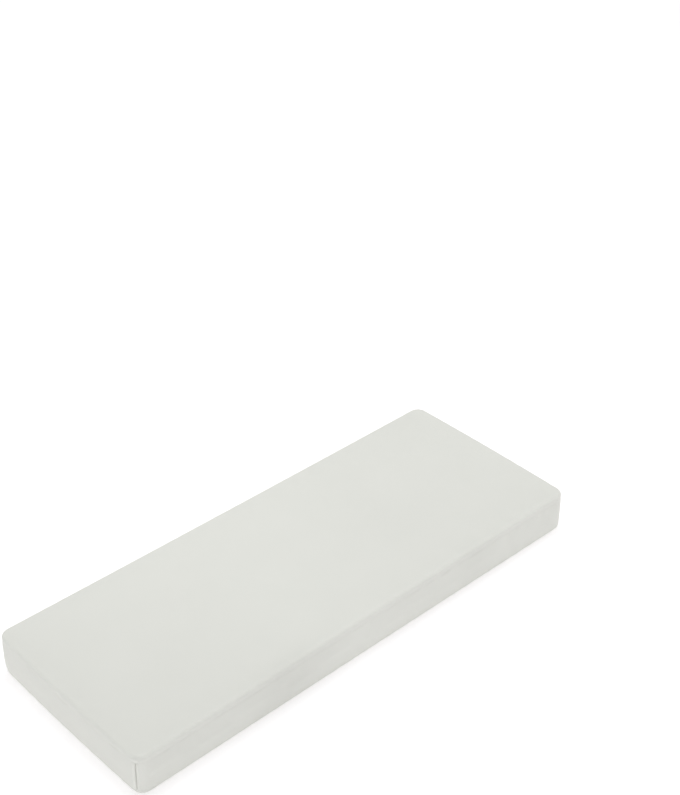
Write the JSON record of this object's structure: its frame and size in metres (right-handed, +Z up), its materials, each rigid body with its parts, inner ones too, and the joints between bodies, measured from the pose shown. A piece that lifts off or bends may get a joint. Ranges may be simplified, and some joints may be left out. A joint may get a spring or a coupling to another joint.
{
  "type": "bench cushion",
  "caption": "Long rectangular box cushion for a bench seat: firm foam filling in plain off-white cloth, with sewn panel edges and upright corner seams.",
  "frame": {"origin": "middle of the underside, on the surface that the cushion lies on", "axes": "+X along the long side, +Y towards the back edge, +Z up through the thickness"},
  "size_m": [1.1488, 0.4506, 0.1002],
  "materials": {
    "cover_cloth": "fine plain weave in off-white, matt, slightly soft at the seams"
  },
  "bodies": {
    "root": {"cushion": "cover_cloth"}
  },
  "joints": []
}
